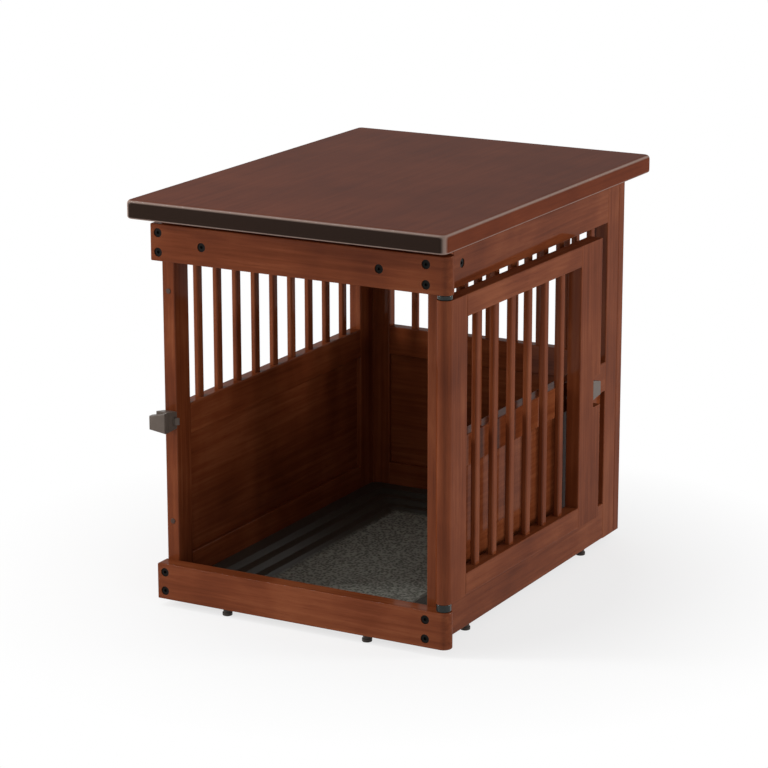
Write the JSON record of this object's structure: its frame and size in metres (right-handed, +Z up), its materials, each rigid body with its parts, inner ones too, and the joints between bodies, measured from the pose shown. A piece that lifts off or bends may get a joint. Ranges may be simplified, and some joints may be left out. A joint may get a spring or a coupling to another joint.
{
  "type": "dog crate end table",
  "caption": "Wooden end table over a slatted pet crate with a door that folds back flat along one side, finger latches and a lift-out floor tray.",
  "frame": {"origin": "on the ground under the centre of the table top", "axes": "+Z up, doorway faces -Y, the folded door lies along the +X side"},
  "size_m": [0.45, 0.596, 0.54],
  "materials": {
    "frame_wood": "satin lacquered mahogany stain",
    "top_wood": "satin lacquered mahogany stain, darker",
    "inner_wood": "plain stained softwood",
    "bolt_steel": "dark coated steel",
    "insert_brass": "turned",
    "zinc_steel": "zinc plated",
    "spring_steel": "drawn wire",
    "glide_plastic": "moulded",
    "bush_plastic": "moulded, polished rim",
    "bumper_rubber": "soft pad",
    "latch_plastic": "moulded",
    "tray_plastic": "fine grained moulded sheet"
  },
  "bodies": {
    "cage": {"back_board": "frame_wood", "back_bottom_rail": "frame_wood", "back_left_stile": "frame_wood", "back_mid_rail": "frame_wood", "back_panel_bolts": "bolt_steel", "back_right_stile": "frame_wood", "back_slats": "frame_wood", "back_top_rail": "frame_wood", "door_bumpers": "bumper_rubber", "feet": "glide_plastic", "front_bottom_rail": "frame_wood", "front_latch_housing": "latch_plastic", "front_latch_screws": "zinc_steel", "front_latch_spring": "spring_steel", "front_rail_bolts": "bolt_steel", "front_top_rail": "frame_wood", "left_board": "frame_wood", "left_bottom_rail": "frame_wood", "left_front_stile": "frame_wood", "left_mid_rail": "frame_wood", "left_rear_stile": "frame_wood", "left_slats": "frame_wood", "left_top_rail": "frame_wood", "lower_hinge_bush": "bush_plastic", "lower_hinge_pin": "zinc_steel", "right_board": "frame_wood", "right_bottom_rail": "frame_wood", "right_front_stile": "frame_wood", "right_mid_rail": "frame_wood", "right_rear_stile": "frame_wood", "right_slats": "frame_wood", "right_top_rail": "frame_wood", "side_catch_housing": "latch_plastic", "side_catch_screws": "zinc_steel", "side_catch_spring": "spring_steel", "table_top": "top_wood", "threaded_inserts": "insert_brass", "top_bolts": "bolt_steel", "top_cleats": "inner_wood", "tray_cleats": "inner_wood", "upper_hinge_bush": "bush_plastic", "upper_hinge_pin": "zinc_steel"},
    "door": {"door_bottom_rail": "frame_wood", "door_hinge_stile": "frame_wood", "door_latch_stile": "frame_wood", "door_slats": "frame_wood", "door_top_rail": "frame_wood"},
    "front_latch_bolt": {"front_latch_slider": "latch_plastic"},
    "side_catch_bolt": {"side_catch_slider": "latch_plastic"},
    "tray": {"tray": "tray_plastic"}
  },
  "joints": [
    {"name": "door_swing", "type": "hinge", "parent": "cage", "child": "door", "pos_m": [0.2, -0.2505, 0.26], "axis": [0, 0, 1], "range_deg": [-268.8, 1.2]},
    {"name": "front_latch_slide", "type": "slide", "parent": "cage", "child": "front_latch_bolt", "axis": [-1, 0, 0], "range_m": [0, 0.007], "stiffness_N_per_m": 300, "springref_m": -0.005, "deforming": ["front_latch_spring"]},
    {"name": "side_catch_slide", "type": "slide", "parent": "cage", "child": "side_catch_bolt", "axis": [0, 1, 0], "range_m": [0, 0.007], "stiffness_N_per_m": 300, "springref_m": -0.005, "deforming": ["side_catch_spring"]},
    {"name": "tray_lift", "type": "slide", "parent": "cage", "child": "tray", "axis": [0, 0, 1], "range_m": [0, 0.06]}
  ]
}
